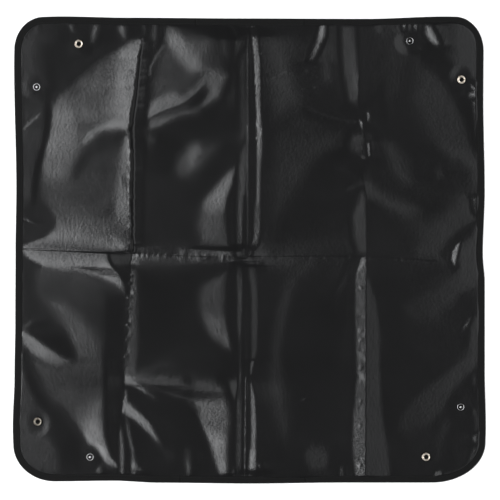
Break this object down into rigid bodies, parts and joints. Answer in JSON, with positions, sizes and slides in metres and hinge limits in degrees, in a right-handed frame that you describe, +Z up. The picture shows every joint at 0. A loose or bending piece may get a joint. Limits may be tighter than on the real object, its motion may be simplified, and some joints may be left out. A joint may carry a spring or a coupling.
{
  "type": "repotting mat",
  "caption": "Square coated fabric mat with rounded corners and a bound edge; press studs pinch its corners up into a tray, and it folds flat along its long creases.",
  "frame": {"origin": "on the table, under the middle of the mat's outline", "axes": "+Z up, out of the working side with the press studs; +X to the right and +Y to the back, as the mat lies in the picture"},
  "size_m": [0.686, 0.6776, 0.006],
  "materials": {
    "coated_sheet": "satin black coating over a close weave",
    "binding_tape": "matt black woven tape",
    "seam_thread": "matt black thread",
    "socket_metal": "antique nickel plate",
    "spring_wire": "drawn wire",
    "stud_metal": "nickel plate"
  },
  "bodies": {
    "inner_left": {"sheet_inner_left": "coated_sheet", "binding_front_inner_left": "binding_tape", "binding_back_inner_left": "binding_tape", "seam_thread_front_inner_left": "seam_thread", "seam_thread_back_inner_left": "seam_thread"},
    "outer_left": {"sheet_outer_left": "coated_sheet", "binding_left": "binding_tape", "seam_thread_left": "seam_thread", "front_left_socket": "socket_metal", "front_left_socket_spring": "spring_wire", "front_left_socket_cap": "socket_metal", "front_left_stud": "stud_metal", "front_left_stud_eyelet": "stud_metal", "back_left_socket": "socket_metal", "back_left_socket_spring": "spring_wire", "back_left_socket_cap": "socket_metal", "back_left_stud": "stud_metal", "back_left_stud_eyelet": "stud_metal"},
    "inner_right": {"sheet_inner_right": "coated_sheet", "binding_front_inner_right": "binding_tape", "binding_back_inner_right": "binding_tape", "seam_thread_front_inner_right": "seam_thread", "seam_thread_back_inner_right": "seam_thread"},
    "outer_right": {"sheet_outer_right": "coated_sheet", "binding_right": "binding_tape", "seam_thread_right": "seam_thread", "front_right_socket": "socket_metal", "front_right_socket_spring": "spring_wire", "front_right_socket_cap": "socket_metal", "front_right_stud": "stud_metal", "front_right_stud_eyelet": "stud_metal", "back_right_socket": "socket_metal", "back_right_socket_spring": "spring_wire", "back_right_socket_cap": "socket_metal", "back_right_stud": "stud_metal", "back_right_stud_eyelet": "stud_metal"}
  },
  "joints": [
    {"name": "left_fold", "type": "hinge", "parent": "inner_left", "child": "outer_left", "pos_m": [-0.17442, 0, 0], "axis": [-0.0433, -0.9991, 0], "range_deg": [0, 176]},
    {"name": "centre_fold", "type": "hinge", "parent": "inner_left", "child": "inner_right", "pos_m": [-0.00238, 0, 0.00265], "axis": [-0.0071, -1, 0], "range_deg": [0, 170]},
    {"name": "right_fold", "type": "hinge", "parent": "inner_right", "child": "outer_right", "pos_m": [0.1683, 0, 0], "axis": [-0.005, 1, 0], "range_deg": [0, 165]}
  ]
}
